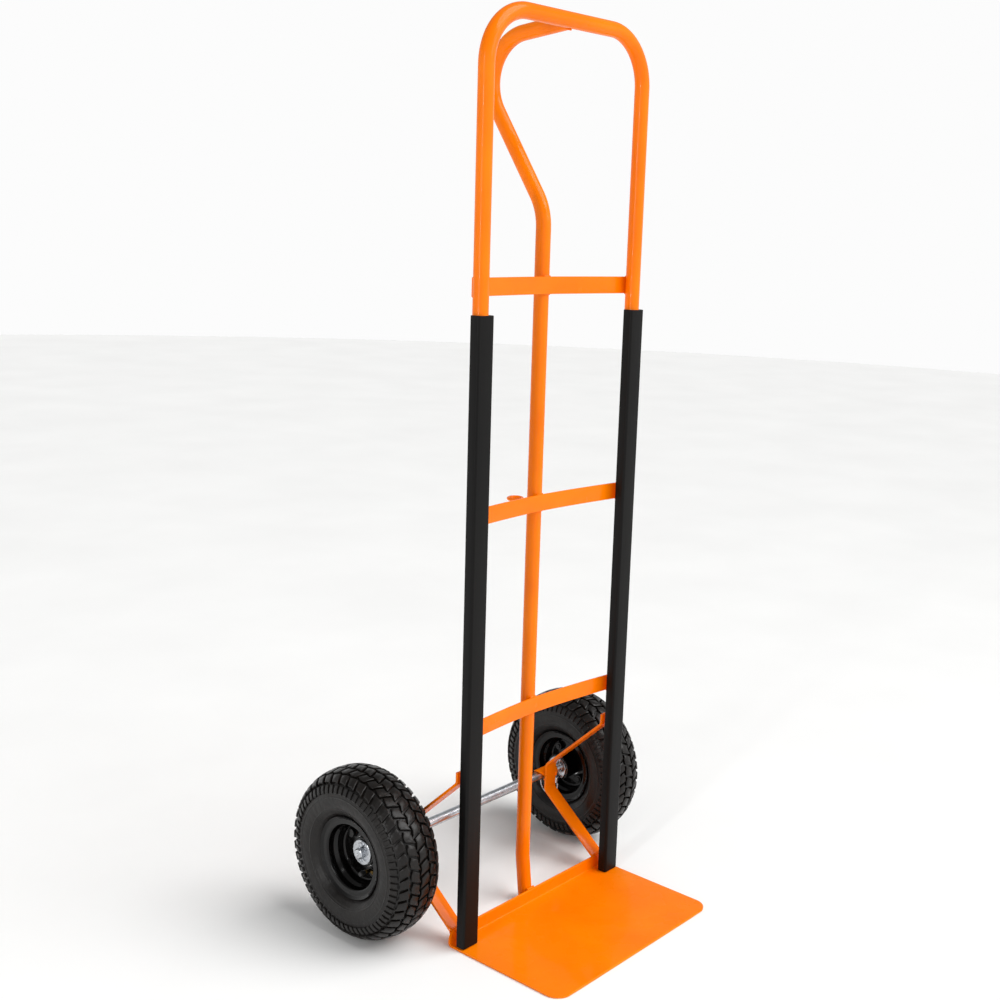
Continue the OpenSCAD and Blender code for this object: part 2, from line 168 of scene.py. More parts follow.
def new_finish(name, **values):
    """A material with a shader and the piece's own coordinates."""
    made = bpy.data.materials.new(name)
    made.use_nodes = True
    tree = made.node_tree
    tree.nodes.clear()
    shader = add(tree, "BsdfPrincipled", {k.replace("_", " "): v for k, v in values.items()})
    add(tree, "OutputMaterial", links={"Surface": (shader, "BSDF")})
    place = add(tree, "TexCoord")
    return made, tree, shader, place


def drift(tree, place, size, low, high, stretch=(1, 1, 1), detail=3):
    """A slow random drift between two values, with patches of a size in millimetres."""
    stretched = add(tree, "Mapping", {"Scale": stretch}, {"Vector": (place, "Object")})
    noise = add(tree, "TexNoise", {"Scale": per(size), "Detail": detail},
                {"Vector": (stretched, "Vector")})
    return add(tree, "MapRange", {"From Min": 0.3, "From Max": 0.7, "To Min": low, "To Max": high},
               {"Value": (noise, "Fac")})


def two_tone(tree, shader, mask, first, second):
    """Mixes two colours by a mask from 0 to 1 into the shader."""
    mixed = add(tree, "Mix", {"A": linear(first), "B": linear(second)},
                {"Factor": (mask, "Result")}, data_type="RGBA")
    tree.links.new(mixed.outputs["Result"], shader.inputs["Base Color"])
    return mixed


def relief(tree, shader, height, depth, under=None):
    """Raises the surface by a height from 0 to 1 times a depth in millimetres."""
    links = {"Height": (height, "Result")}
    if under:
        links["Normal"] = (under, "Normal")
    made = add(tree, "Bump", {"Strength": 1, "Distance": depth * MM}, links)
    tree.links.new(made.outputs["Normal"], shader.inputs["Normal"])
    return made


def powder_coat(name, light, deep, scuffs):
    """Baked polyester powder on steel: glossy, with the faint ripple called orange peel."""
    made, tree, shader, place = new_finish(name, IOR=1.5, Specular_IOR_Level=0.08,
                                           Coat_Weight=0.22, Coat_Roughness=0.05)
    two_tone(tree, shader, drift(tree, place, 90, 0, 1), light, deep)
    gloss = drift(tree, place, 35, 0.22, 0.22 + scuffs)
    tree.links.new(gloss.outputs["Result"], shader.inputs["Roughness"])
    peel = relief(tree, shader, drift(tree, place, 3.2, 0, 1, detail=1), 0.035)
    relief(tree, shader, drift(tree, place, 0.7, 0, 1, detail=2), 0.004, peel)
    return made


def satin_plastic(name):
    """Extruded PVC: satin black, with fine draw lines along its length."""
    made, tree, shader, place = new_finish(name, IOR=1.53, Specular_IOR_Level=0.13)
    two_tone(tree, shader, drift(tree, place, 40, 0, 1, (1, 1, 0.15)), "#0A0909", "#0F0E0D")
    lines = drift(tree, place, 1.2, 0, 1, (1, 1, 0.004), 2)
    relief(tree, shader, lines, 0.03)
    tree.links.new(drift(tree, place, 18, 0.34, 0.5, (1, 1, 0.1)).outputs["Result"],
                   shader.inputs["Roughness"])
    return made


def tyre_rubber(name):
    """Moulded carbon-black rubber: dark, half matt, a little grainy from the mould."""
    made, tree, shader, place = new_finish(name, IOR=1.52, Specular_IOR_Level=0.3)
    two_tone(tree, shader, drift(tree, place, 25, 0, 1), "#0B0807", "#14100D")
    tree.links.new(drift(tree, place, 14, 0.28, 0.44).outputs["Result"], shader.inputs["Roughness"])
    grain = relief(tree, shader, drift(tree, place, 0.9, 0, 1, detail=2), 0.05)
    relief(tree, shader, drift(tree, place, 7, 0, 1), 0.25, grain)
    return made


def butyl_rubber(name):
    """The inner tube's butyl rubber: smooth and dull, with a dusting of talc."""
    made, tree, shader, place = new_finish(name, IOR=1.52, Roughness=0.6)
    two_tone(tree, shader, drift(tree, place, 9, 0, 1), "#1B1B1C", "#3A3937")
    relief(tree, shader, drift(tree, place, 2, 0, 1), 0.05)
    return made


def rim_enamel(name):
    """Stoved black enamel on pressed steel: deep, wet-looking gloss."""
    made, tree, shader, place = new_finish(name, IOR=1.52, Specular_IOR_Level=0.15,
                                           Coat_Weight=0.25, Coat_Roughness=0.04)
    two_tone(tree, shader, drift(tree, place, 30, 0, 1), "#050404", "#080707")
    tree.links.new(drift(tree, place, 12, 0.12, 0.26).outputs["Result"],
                   shader.inputs["Roughness"])
    relief(tree, shader, drift(tree, place, 4, 0, 1, detail=1), 0.03)
    return made


def zinc_plate(name, stretch, dull):
    """Bright zinc on turned or drawn steel: silvery, with a faint blue cast and fine tool lines."""
    made, tree, shader, place = new_finish(name, Metallic=1, Roughness=0.24)
    two_tone(tree, shader, drift(tree, place, 7, 0, 1), "#D5D8DC", dull)
    tree.links.new(drift(tree, place, 5, 0.16, 0.36, stretch).outputs["Result"],
                   shader.inputs["Roughness"])
    relief(tree, shader, drift(tree, place, 0.8, 0, 1, stretch, 2), 0.02)
    return made


def bearing_steel(name):
    """Ground bearing steel with a film of grease: smooth, grey and slightly smeared."""
    made, tree, shader, place = new_finish(name, Metallic=1, Roughness=0.3)
    two_tone(tree, shader, drift(tree, place, 5, 0, 1), "#A9ABAE", "#6E6A64")
    tree.links.new(drift(tree, place, 3, 0.2, 0.45).outputs["Result"], shader.inputs["Roughness"])
    return made


def valve_brass(name):
    """Turned brass under thin nickel: warm and slightly tarnished."""
    made, tree, shader, place = new_finish(name, Metallic=1, Roughness=0.3)
    two_tone(tree, shader, drift(tree, place, 4, 0, 1), "#7A6238", "#54452A")
    relief(tree, shader, drift(tree, place, 0.8, 0, 1), 0.02)
    return made


def cap_plastic(name):
    """Moulded polyethylene: soft black with a waxy sheen."""
    made, tree, shader, place = new_finish(name, IOR=1.5, Roughness=0.45)
    two_tone(tree, shader, drift(tree, place, 3, 0, 1), "#161616", "#232222")
    relief(tree, shader, drift(tree, place, 0.6, 0, 1), 0.02)
    return made


def studio_floor(name):
    """Painted studio floor: pale and matt."""
    made, tree, shader, place = new_finish(name, Roughness=0.8)
    two_tone(tree, shader, drift(tree, place, 400, 0, 1), "#F4F4F3", "#F8F8F7")
    return made


FINISHES = {
    "frame_paint": powder_coat("orange_powder_coat", "#FA7D00", "#F37200", 0.06),
    "plate_paint": powder_coat("orange_powder_coat_on_plate", "#FB8200", "#F67700", 0.12),
    "guard_plastic": satin_plastic("satin_black_extruded_pvc"),
    "zinc_steel": zinc_plate("bright_zinc_plated_steel", (1, 1, 1), "#B9BDC4"),
    "drawn_zinc": zinc_plate("zinc_plated_drawn_bar", (0.05, 1, 1), "#AEB2B8"),
    "tyre_rubber": tyre_rubber("moulded_black_tyre_rubber"),
    "butyl_rubber": butyl_rubber("talced_butyl_rubber"),
    "rim_paint": rim_enamel("gloss_black_stoved_enamel"),
    "bearing_steel": bearing_steel("ground_bearing_steel"),
    "valve_brass": valve_brass("turned_valve_brass"),
    "cap_plastic": cap_plastic("moulded_black_polyethylene"),
}


# ---------------------------------------------------------------- mesh work

def piece(name, shape, finish, body, replaces=(), crease=35):
    """Makes a shape, its points in millimetres, into a finished piece that rides on a body."""
    points, faces = shape
    mesh = bpy.data.meshes.new(name)
    mesh.from_pydata([p * MM for p in points], [], faces)
    work = bmesh.new()
    work.from_mesh(mesh)
    bmesh.ops.remove_doubles(work, verts=work.verts, dist=0.002 * MM)
    bmesh.ops.recalc_face_normals(work, faces=work.faces)
    work.to_mesh(mesh)
    work.free()
    mesh.shade_smooth()
    mesh.set_sharp_from_angle(angle=math.radians(crease))
    mesh.materials.append(FINISHES[finish])
    thing = bpy.data.objects.new(name, mesh)
    bpy.context.scene.collection.objects.link(thing)
    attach(thing, body)
    if replaces:
        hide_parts(*replaces)


def joined(shapes):
    """Several shapes as one."""
    points, faces = [], []
    for more_points, more_faces in shapes:
        start = len(points)
        points += more_points
        faces += [[start + i for i in face] for face in more_faces]
    return points, faces


def placed(shape, matrix):
    """A shape moved and turned by a matrix."""
    return [matrix @ p for p in shape[0]], shape[1]


def skinned(loops, closed=False):
    """A skin over a row of equal loops, joined end to end if closed and capped if not."""
    size = len(loops[0])
    points = [p for loop in loops for p in loop]
    faces = []
    for i in range(len(loops) if closed else len(loops) - 1):
        a, b = i * size, (i + 1) % len(loops) * size
        for j in range(size):
            k = (j + 1) % size
            faces.append([a + j, a + k, b + k, b + j])
    if not closed:
        last = (len(loops) - 1) * size
        faces += [list(range(size))[::-1], [last + j for j in range(size)]]
    return points, faces


def circle(r, steps=48):
    """A round section that can be drawn smaller by an inset."""
    turns = [2 * math.pi * i / steps for i in range(steps)]
    return lambda inset=0: [((r - inset) * math.cos(t), (r - inset) * math.sin(t)) for t in turns]


def rounded_box(width, height, edge, steps=4):
    """A rectangular section with round edges that can be drawn smaller by an inset."""
    def outline(inset=0):
        points = []
        for quarter, (a, b) in enumerate(((1, 1), (-1, 1), (-1, -1), (1, -1))):
            middle = (a * (width / 2 - edge), b * (height / 2 - edge))
            for i in range(steps + 1):
                t = (quarter + i / steps) * math.pi / 2
                r = max(edge - inset, 0.05)
                points.append((middle[0] + r * math.cos(t), middle[1] + r * math.sin(t)))
        return points
    return outline


def sweep(path, normal, section, closed=False, rim=0):
    """Carries a section along a path in the plane square to normal. rim chamfers the ends."""
    count = len(path)
    stops = []
    for i, point in enumerate(path):
        behind = path[i - 1] if closed or i else point
        ahead = path[(i + 1) % count] if closed or i < count - 1 else point
        stops.append((point, (ahead - behind).normalized(), 0))
    if rim:
        (first, way, _), (last, last_way, _) = stops[0], stops[-1]
        stops[:1] = [(first, way, rim), (first + way * rim, way, 0)]
        stops[-1:] = [(last - last_way * rim, last_way, 0), (last, last_way, rim)]
    loops = []
    for point, way, inset in stops:
        out = way.cross(normal)
        loops.append([point + normal * u + out * v for u, v in section(inset)])
    return skinned(loops, closed)


def bent_line(start, heading, legs, step=4):
    """Points along a bent line in a plane. Each leg is a length, a bend radius and a turn."""
    at, angle = Vector(start), heading
    points = [at.copy()]
    for length, bend, turn in legs:
        ahead = Vector((math.cos(math.radians(angle)), math.sin(math.radians(angle))))
        at = at + ahead * length
        points.append(at.copy())
        if turn:
            side = 1 if turn > 0 else -1
            middle = at + Vector((-ahead.y, ahead.x)) * bend * side
            arms = max(2, math.ceil(abs(turn) / step))
            for i in range(1, arms + 1):
                swing = Matrix.Rotation(math.radians(turn * i / arms), 2)
                points.append(middle + swing @ (at - middle))
            at = points[-1]
            angle += turn
    return points


def rounded(corners, radii, steps=6):
    """A line through corners, with each inner corner rounded to its own radius."""
    corners = [Vector(c) for c in corners]
    points = [corners[0]]
    for before, corner, after, r in zip(corners, corners[1:], corners[2:], radii):
        u, v = (before - corner).normalized(), (after - corner).normalized()
        half = u.angle(v) / 2
        middle = corner + (u + v).normalized() * r / math.sin(half)
        start = corner + u * r / math.tan(half)
        turn = (start - middle).angle_signed(corner + v * r / math.tan(half) - middle)
        for i in range(steps + 1):
            points.append(middle + Matrix.Rotation(-turn * i / steps, 2) @ (start - middle))
    return points + [corners[-1]]


def spaced(line, step):
    """A line with more points added, so that none are further apart than a step."""
    points = [line[0]]
    for a, b in zip(line, line[1:]):
        count = max(1, math.ceil((b - a).length / step))
        points += [a.lerp(b, i / count) for i in range(1, count + 1)]
    return points


def both_faces(line, thick):
    """The outline of a sheet whose middle follows a line."""
    faces = [[], []]
    for i, point in enumerate(line):
        way = (line[min(i + 1, len(line) - 1)] - line[max(i - 1, 0)]).normalized()
        for face, side in zip(faces, (1, -1)):
            face.append(point + Vector((-way.y, way.x)) * side * thick / 2)
    return faces[0] + faces[1][::-1]


def lathe(outline, steps=96):
    """Spins an outline of (along, radius) points round the X axis."""
    loops = []
    for i in range(steps):
        t = 2 * math.pi * i / steps
        loops.append([Vector((a, r * math.cos(t), r * math.sin(t))) for a, r in outline])
    return skinned(loops, closed=True)


def chamfered(corners, edge):
    """A closed outline with each corner cut back by an edge."""
    corners = [Vector(c) for c in corners]
    points = []
    for i, corner in enumerate(corners):
        for other in (corners[i - 1], corners[(i + 1) % len(corners)]):
            points.append(corner + (other - corner).normalized() * edge)
    return points


def eased(low, high, r_in, r_out, edge):
    """The outline of a ring with its edges eased."""
    corners = ((low, r_in), (low, r_out), (high, r_out), (high, r_in))
    return chamfered(corners, edge)


def at_axle(x, side=1):
    """The place on the axle at a distance from the middle, facing outward."""
    return Matrix.Translation((x * side, AXLE_Y, AXLE_Z)) @ Matrix.Diagonal((side, 1, 1, 1))


def weld(name, lines, r):
    """Weld beads along lines on the frame, with the ripples that a welder's steps leave."""
    step = 2.2
    around = [2 * math.pi * k / 12 for k in range(12)]
    shapes = []
    for line in lines:
        closed = (line[0] - line[-1]).length < 0.01
        line = spaced(line, 0.5)
        if closed:
            line = line[:-1]
        loops, along = [], 0
        for i, point in enumerate(line):
            behind = line[i - 1] if closed or i else point
            ahead = line[(i + 1) % len(line)] if closed or i < len(line) - 1 else point
            way = (ahead - behind).normalized()
            along += (point - line[i - 1]).length if i else 0
            ripple = 0.8 + 0.2 * abs(math.sin(math.pi * along / step))
            taper = 1 if closed else min(1, 0.35 + min(i, len(line) - 1 - i) / 4)
            # The section keeps its own direction along the line, so that the bead doesn't twist
            u = (u - way * u.dot(way)).normalized() if loops else way.orthogonal().normalized()
            v = way.cross(u)
            size = r * ripple * taper
            loops.append([point + (u * math.cos(t) + v * math.sin(t)) * size for t in around])
        shapes.append(skinned(loops, closed))
    piece(name, joined(shapes), "frame_paint", "frame", crease=60)


# ---------------------------------------------------------------- frame

def main_loop():
    """The outer loop: two uprights and the bar over the top, bent from one tube."""
    rise = LOOP_Z - LOOP_BEND - loop_lo.z
    line = bent_line((-UPRIGHT_X, loop_lo.z), 90, [
        (rise, LOOP_BEND, -90),
        (2 * (UPRIGHT_X - LOOP_BEND), LOOP_BEND, -90),
        (rise, 0, 0)])
    path = [Vector((p.x, 0, p.y)) for p in line]
    shape = sweep(path, Y, circle(TUBE_R), rim=0.5)
    piece("loop_tube", shape, "frame_paint", "frame", ["main_loop"])


def middle_line():
    """The centre tube's axis in the side view, from the plate up and over to the loop."""
    foot = Vector((FOOT_Y, FOOT_Z))
    knee = Vector((MIDDLE_Y, FOOT_BEND_Z))
    start = foot.lerp(knee, (span("centre_tube")[0].z - foot.y) / (knee.y - foot.y))
    lean = math.degrees(math.atan2(knee.x - foot.x, knee.y - foot.y))
    foot_cut = FOOT_BEND * math.tan(math.radians(lean) / 2)
    leg_cut = LEG_BEND * math.tan(math.radians(LEG_LEAN) / 2)
    slope = math.radians(LEG_LEAN)
    leg_top = GRIP_AT + GRIP_BEND * Vector((math.cos(slope), -math.sin(slope)))
    leg_foot = Vector((MIDDLE_Y, leg_top.y - (leg_top.x - MIDDLE_Y) / math.tan(slope)))
    rise = math.radians(GRIP_RISE)
    over = (GRIP_AT.x + GRIP_BEND * math.sin(rise) - 6) / math.cos(rise)
    return bent_line(start, 90 - lean, [
        ((knee - start).length - foot_cut, FOOT_BEND, lean),
        (leg_foot.y - FOOT_BEND_Z - foot_cut - leg_cut, LEG_BEND, -LEG_LEAN),
        ((leg_top - leg_foot).length - leg_cut, GRIP_BEND, 90 + LEG_LEAN - GRIP_RISE),
        (over, 0, 0)])


def centre_tube():
    """The middle tube: up behind the crossbars, back, and over to the loop as a handle."""
    path = [Vector((0, p.x, p.y)) for p in middle_line()]
    shape = sweep(path, X, circle(TUBE_R), rim=0.5)
    piece("middle_tube", shape, "frame_paint", "frame", ["centre_tube"])


def bar_y(x):
    """How far behind the uprights a crossbar's front face lies."""
    return BAR_END_Y + BAR_BOW * (1 - abs(x / UPRIGHT_X) ** BAR_CURVE)


def crossbars():
    """Three flat straps, bowed back from the uprights to the centre tube."""
    steps = 40
    for level in ("bottom", "middle", "top"):
        lo, hi = span("crossbar_" + level)
        xs = [lo.x + (hi.x - lo.x) * i / steps for i in range(steps + 1)]
        path = [Vector((x, bar_y(x) + BAR_THICK / 2, (lo.z + hi.z) / 2)) for x in xs]
        shape = sweep(path, Z, rounded_box(hi.z - lo.z, BAR_THICK, 0.7), rim=0.4)
        piece("cross_strap_" + level, shape, "frame_paint", "frame", ["crossbar_" + level])
        lines = []
        for z in (lo.z, hi.z):
            for side in (-1, 1):
                xs = [side * (UPRIGHT_X + x) for x in (-6, -3, 0, 3, 6)]
                lines.append([Vector((x, BAR_END_Y - abs(abs(x) - UPRIGHT_X) * 0.12, z))
                              for x in xs])
            lines.append([Vector((x, bar_y(0) + BAR_THICK + abs(x) * 0.12, z))
                          for x in (-7, -3.5, 0, 3.5, 7)])
        weld("cross_strap_welds_" + level, lines, 1.6)


def tie_ring():
    """A wire eye on the back of the centre tube."""
    lo, hi = span("tie_ring")
    wire = (hi.z - lo.z) / 2
    ring_r = hi.x - wire
    middle = Vector((0, hi.y - ring_r - wire, (lo.z + hi.z) / 2))
    turns = [2 * math.pi * i / 48 for i in range(48)]
    ring = [middle + Vector((math.cos(t), math.sin(t), 0)) * ring_r for t in turns]
    shank = [Vector((0, lo.y - 1 + 2 * i, middle.z)) for i in range(10)]
    shank = [p for p in shank if p.y < middle.y - ring_r + 1]
    shape = joined([sweep(ring, Z, circle(wire, 20), closed=True),
                    sweep(shank, Z, circle(wire * 0.85, 20))])
    piece("tie_eye", shape, "frame_paint", "frame", ["tie_ring"])
    collar_r = 3.2
    root = Vector((0, MIDDLE_Y + TUBE_R + 0.4, middle.z))
    collar = [root + Vector((math.cos(t), 0, math.sin(t))) * collar_r for t in turns + [0]]
    weld("tie_eye_weld", [collar], 1.4)


def toe_plate():
    """The folded toe plate: round front corners, rolled edges and an upturned flange."""
    half_w = plate_hi.x
    half_t = PLATE_THICK / 2
    edge = 1.3
    flat = plate_hi.y - PLATE_BEND - plate_lo.y
    bend = (PLATE_BEND - half_t) * math.pi / 2
    total = flat + bend + plate_hi.z - PLATE_BEND
    stops = {PLATE_CORNER + (flat - PLATE_CORNER) * i / 16 for i in range(17)}
    stops |= {flat + bend * i / 8 for i in range(9)}
    for i in range(13):
        bow = 1 - math.cos(math.pi / 2 * i / 12)
        stops |= {PLATE_CORNER * bow, total - FLANGE_CORNER * bow}
    for i in range(5):
        bow = 1 - math.cos(math.pi / 2 * i / 4)
        stops |= {edge * bow, total - edge * bow}

    def inset(distance, r):
        """How far a round corner of radius r draws the side in."""
        if distance >= r:
            return 0
        return r - math.sqrt(max(0, r * r - (r - distance) ** 2))

    loops = []
    for s in sorted(stops):
        near = min(s, total - s)
        corner = PLATE_CORNER if s < flat else FLANGE_CORNER
        wide = half_w - inset(near, corner)
        thin = half_t - inset(near, edge)
        if s <= flat:
            middle, up = Vector((0, plate_lo.y + s, half_t)), Z
        elif s <= flat + bend:
            t = (s - flat) / bend * math.pi / 2
            pivot = Vector((0, plate_hi.y - PLATE_BEND, PLATE_BEND))
            up = Vector((0, -math.sin(t), math.cos(t)))
            middle = pivot - up * (PLATE_BEND - half_t)
        else:
            up = -Y
            middle = Vector((0, plate_hi.y - half_t, PLATE_BEND + s - flat - bend))
        loop = []
        for side in (1, -1):
            xs = [wide * side * (1 - 2 * i / 12) for i in range(13)]
            for x in xs:
                near_side = wide - abs(x)
                loop.append(middle + X * x + up * side * (thin - inset(near_side, edge) * 0.5))
        loops.append(loop)
    piece("toe_plate_pressing", skinned(loops), "plate_paint", "frame", ["toe_plate"], 30)


def guard_section(inset=0):
    """A guard's section: a square-fronted channel that grips the tube from the front."""
    half = (guard_hi.x - guard_lo.x) / 2 - inset
    front, back = -guard_lo.y - inset, guard_hi.y - inset
    grip = TUBE_R + 0.05 + inset
    lip = math.degrees(math.asin(guard_hi.y / grip))
    points = []
    for side in (-1, 1):
        middle = Vector((side * (half - GUARD_CORNER), -front + GUARD_CORNER))
        for i in range(9):
            t = math.radians(180 + 90 * i / 8 if side < 0 else 270 + 90 * i / 8)
            points.append(middle + Vector((math.cos(t), math.sin(t))) * GUARD_CORNER)
    middle = Vector((half - GUARD_LIP, back - GUARD_LIP))
    right = [middle + Vector((math.cos(t), math.sin(t))) * GUARD_LIP
             for t in (math.pi / 2 * i / 4 for i in range(5))]
    bore = [Vector((math.cos(t), math.sin(t))) * grip
            for t in (math.radians(lip - (180 + 2 * lip) * i / 30) for i in range(31))]
    left = [Vector((-p.x, p.y)) for p in right[::-1]]
    return [(p.x, p.y) for p in points + right + bore + left]


def guards():
    """A plastic strip clipped over each upright."""
    for name, side in SIDES.items():
        lo, hi = span("guard_" + name)
        path = spaced([Vector((side * UPRIGHT_X, 0, z)) for z in (lo.z, hi.z)], 60)
        shape = sweep(path, X, guard_section, rim=0.4)
        piece("guard_strip_" + name, shape, "guard_plastic", "frame", ["guard_" + name], 25)


def brackets():
    """Flat straps bent from the uprights back round the axle sleeves and down to the flange."""
    front = bracket_lo.y + STRAP_THICK / 2
    back = bracket_hi.y - STRAP_THICK / 2
    corners = [(front, bracket_hi.z), (front, STRAP_TAB_Z), (back, STRAP_HIGH_Z),
               (back, STRAP_LOW_Z), (plate_hi.y + 1.2, STRAP_FOOT_Z)]
    line = rounded(corners, [STRAP_BEND, STRAP_HOOK, STRAP_BEND], 8)
    width = bracket_hi.x - bracket_lo.x
    for name, side in SIDES.items():
        x = side * UPRIGHT_X
        path = [Vector((x, p.x, p.y)) for p in line]
        shape = sweep(path, X, rounded_box(width, STRAP_THICK, 0.9), rim=0.4)
        piece("bracket_strap_" + name, shape, "frame_paint", "frame", ["bracket_" + name])
        edges = [x - width / 2, x + width / 2]
        tops = [Vector((x + dx, bracket_lo.y + 0.6, bracket_hi.z)) for dx in (-8, -4, 0, 4, 8)]
        feet = [[Vector((px, plate_hi.y + dy, z)) for px in edges]
                for dy, z in ((0.3, plate_hi.z), (2, STRAP_FOOT_Z - 3))]
        contact = [[Vector((edge_x, back - STRAP_THICK / 2 - 0.2, z))
                    for z in (AXLE_Z - 4, AXLE_Z + 4)] for edge_x in edges]
        seams = [[Vector((px, back + STRAP_THICK / 2 + 1.2, AXLE_Z + dz)) for px in edges]
                 for dz in (-5.5, 5.5)]
        weld("bracket_welds_" + name, [tops] + feet + contact + seams, 1.8)


def sleeves():
    """A short tube round the axle on each bracket, its inner end cut at a slant."""
    bore = AXLE_R + 0.1
    steps = 64
    # Each corner of the wall: radius, inner (0) or outer (1) end, and how far it is drawn in
    wall = [(SLEEVE_R, 0, 0.6), (SLEEVE_R, 1, 0.6), (SLEEVE_R - 0.6, 1, 0), (bore + 0.3, 1, 0),
            (bore, 1, 0.4), (bore, 0, 0.4), (bore + 0.3, 0, 0), (SLEEVE_R - 0.6, 0, 0)]
    for name, side in SIDES.items():
        loops = []
        for i in range(steps):
            t = 2 * math.pi * i / steps
            loop = []
            for r, end, ease in wall:
                y, z = r * math.cos(t), r * math.sin(t)
                slant = SLEEVE_MITRE * (SLEEVE_R - z) / (2 * SLEEVE_R)
                x = sleeve_hi.x - ease if end else sleeve_lo.x + slant + ease
                loop.append(Vector((side * min(x, sleeve_hi.x), AXLE_Y + y, AXLE_Z + z)))
            loops.append(loop)
        piece("axle_sleeve_" + name, skinned(loops, True), "frame_paint", "frame",
              ["sleeve_" + name])


def foot_welds():
    """Beads round the feet of the tubes and where the handle meets the loop."""
    def ring(centre, r, start, end, steps=24):
        turns = [math.radians(start + (end - start) * i / steps) for i in range(steps + 1)]
        return [centre + Vector((r * math.cos(t), r * math.sin(t), 0)) for t in turns]

    feet = [ring(Vector((side * UPRIGHT_X, 0, PLATE_THICK + 0.4)), TUBE_R + 0.5, 20, 160)
            for side in (-1, 1)]
    weld("upright_foot_welds", feet, 1.7)
    flange_top = plate_hi.z
    corner = [Vector((x, plate_hi.y + 0.6 + abs(x) * 0.12, flange_top - 0.4))
              for x in (-8, -4, 0, 4, 8)]
    sides = [[Vector((side * 8.5, plate_hi.y + 1, z)) for z in (4, 22)] for side in (-1, 1)]
    weld("middle_tube_foot_weld", [corner] + sides, 2.0)
    saddle = []
    for i in range(49):
        t = math.radians(150 + 240 * i / 48)
        height = (TUBE_R + 0.4) * math.sin(t)
        depth = math.sqrt(max(0, (TUBE_R + 0.5) ** 2 - height ** 2))
        saddle.append(Vector(((TUBE_R + 0.3) * math.cos(t), depth, LOOP_Z - 0.6 + height)))
    weld("handle_weld", [saddle], 1.4)


# ---------------------------------------------------------------- axle and its hardware

def axle():
    """The zinc-plated bar with chamfered ends and centre-drilled faces."""
    ease = 1.5
    end = axle_hi.x
    outline = [Vector((-end + 2, 0)), Vector((-end, 2.2)), Vector((-end, AXLE_R - ease)),
               Vector((-end + ease, AXLE_R)), Vector((end - ease, AXLE_R)),
               Vector((end, AXLE_R - ease)), Vector((end, 2.2)), Vector((end - 2, 0))]
    piece("axle_bar", placed(lathe(outline, 64), at_axle(0)), "drawn_zinc", "frame", ["axle"], 30)


def washers():
    """A plain washer on each side of each hub."""
    for place in ("inner", "outer"):
        node = place + "_washers"
        hi = span(node)[1]
        ring = lathe(eased(-WASHER_THICK, 0, AXLE_R + 0.2, hi.z - AXLE_Z, 0.35), 72)
        shapes = [placed(ring, at_axle(hi.x, side)) for side in (-1, 1)]
        piece(place + "_thrust_washers", joined(shapes), "zinc_steel", "frame", [node], 30)


def split_pins():
    """Split pins through the axle's ends, eye up and legs bent apart below."""
    wire = 0.8
    eye_r = 3.2
    shapes = []
    foot = AXLE_R + 5
    neck = AXLE_R + 1.2
    left = [Vector((-5.2, -foot + 1.2)), Vector((-3.2, -foot + 0.4)),
            Vector((-1.6, -foot + 1.8)), Vector((-wire, -foot + 4))]
    turns = [math.radians(250 - 320 * i / 28) for i in range(29)]
    eye = [Vector((eye_r * math.cos(t), neck + eye_r + 0.6 + eye_r * math.sin(t)))
           for t in turns]
    line = left + [Vector((-wire, neck - 1))] + eye + [Vector((wire, neck - 1))]
    line += [Vector((-p.x, p.y)) for p in left[::-1]]
    for side in (-1, 1):
        path = [Vector((side * SPLIT_X, AXLE_Y + p.x, AXLE_Z + p.y)) for p in spaced(line, 1)]
        shapes.append(sweep(path, X, circle(wire, 16), rim=0.2))
    piece("split_pin_wires", joined(shapes), "zinc_steel", "frame", ["split_pins"], 60)


def linch_pins():
    """A pin through the axle with a block at its foot and a spring ring through the block."""
    block_long, block_wide, block_high = 13, 7, 11
    block_lo = Vector((AXLE_Y - 8, AXLE_Z - AXLE_R - 17))
    ring_r = 19
    turns = [2 * math.pi * i / 64 for i in range(64)]
    for name, side in SIDES.items():
        x = side * LINCH_X
        top = span("linch_pin_" + name)[1].z
        pin = [Vector((x, AXLE_Y, z)) for z in (block_lo.y + 5, top)]
        middle = Vector((x, block_lo.x + block_long / 2, block_lo.y + block_high / 2))
        block = [middle + Y * dy for dy in (-block_long / 2, block_long / 2)]
        ring_middle = Vector((x, block_lo.x + 20, block_lo.y - 6))
        ring = [ring_middle + Vector((0, math.cos(t), math.sin(t))) * ring_r for t in turns]
        section = rounded_box(block_wide, block_high, 1.2)
        shape = joined([sweep(spaced(pin, 5), X, circle(2.5, 24), rim=0.8),
                        sweep(spaced(block, 3), X, section, rim=0.8),
                        sweep(ring, X, circle(1.4, 16), closed=True)])
        piece("linch_pin_set_" + name, shape, "zinc_steel", "frame", ["linch_pin_" + name], 40)


# ---------------------------------------------------------------- wheels

def bulge(angle, wide, high):
    """A point of the tyre's section, a little squarer than an ellipse, as (along, radius)."""
    power = 2 / 2.35
    c, s = math.cos(angle), math.sin(angle)
    return Vector((math.copysign(abs(c) ** power, c) * wide,
                   TYRE_MID_R + math.copysign(abs(s) ** power, s) * high))


